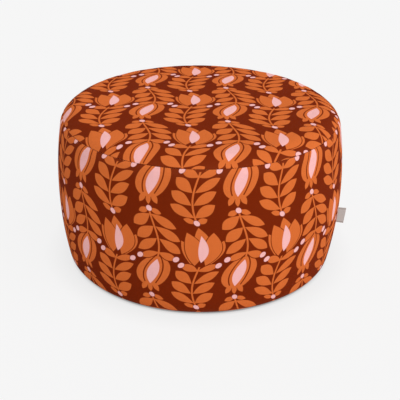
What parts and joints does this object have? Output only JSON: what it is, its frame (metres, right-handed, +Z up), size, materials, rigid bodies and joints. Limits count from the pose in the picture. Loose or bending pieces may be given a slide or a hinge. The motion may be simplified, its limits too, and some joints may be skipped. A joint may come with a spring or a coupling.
{
  "type": "tuffet",
  "caption": "Round upholstered tuffet with a printed cloth cover over a liner, fibre wadding and a foam drum, and a zip under the back edge.",
  "frame": {"origin": "on the floor, at the drum's upright axis", "axes": "+Z up along the drum's axis; front towards -Y; the side label is at +X and the zip runs round the back, at +Y"},
  "size_m": [0.5165, 0.499, 0.28],
  "materials": {
    "printed_cloth": "printed cotton, dark rust brown, orange and pink",
    "base_cloth": "plain hard-wearing dark brown cloth",
    "label_cloth": "woven satin tape, blank",
    "calico": "unbleached calico",
    "fibre_wadding": "white polyester wadding",
    "soft_foam": "pale yellow open-cell foam",
    "firm_foam": "pale blue open-cell foam",
    "zip_tape": "brown woven tape with moulded teeth",
    "zip_metal": "dull antique brass"
  },
  "bodies": {
    "upholstery": {"top_panel": "printed_cloth", "side_panel_front": "printed_cloth", "side_panel_rear": "printed_cloth", "base_panel": "base_cloth", "side_label": "label_cloth", "liner_top": "calico", "liner_side": "calico", "liner_base": "calico", "wadding_top": "fibre_wadding", "wadding_side": "fibre_wadding", "wadding_base": "fibre_wadding", "seat_foam": "soft_foam", "core_foam": "firm_foam", "zip_tape_side": "zip_tape", "zip_tape_base": "zip_tape", "zip_bottom_stop": "zip_metal", "zip_top_stop_side": "zip_metal", "zip_top_stop_base": "zip_metal"},
    "slider": {"zip_slider": "zip_metal"},
    "pull": {"zip_pull": "zip_metal"}
  },
  "joints": [
    {"name": "zip_travel", "type": "hinge", "parent": "upholstery", "child": "slider", "pos_m": [0, 0, 0], "axis": [0, 0, -1], "range_deg": [0, 136.27], "deforming": ["zip_tape_side", "zip_tape_base"]},
    {"name": "pull_swing", "type": "hinge", "parent": "slider", "child": "pull", "pos_m": [-0.17672, 0.0709, 0.0023], "axis": [-0.9281, 0.3724, 0], "range_deg": [0, 180]}
  ]
}
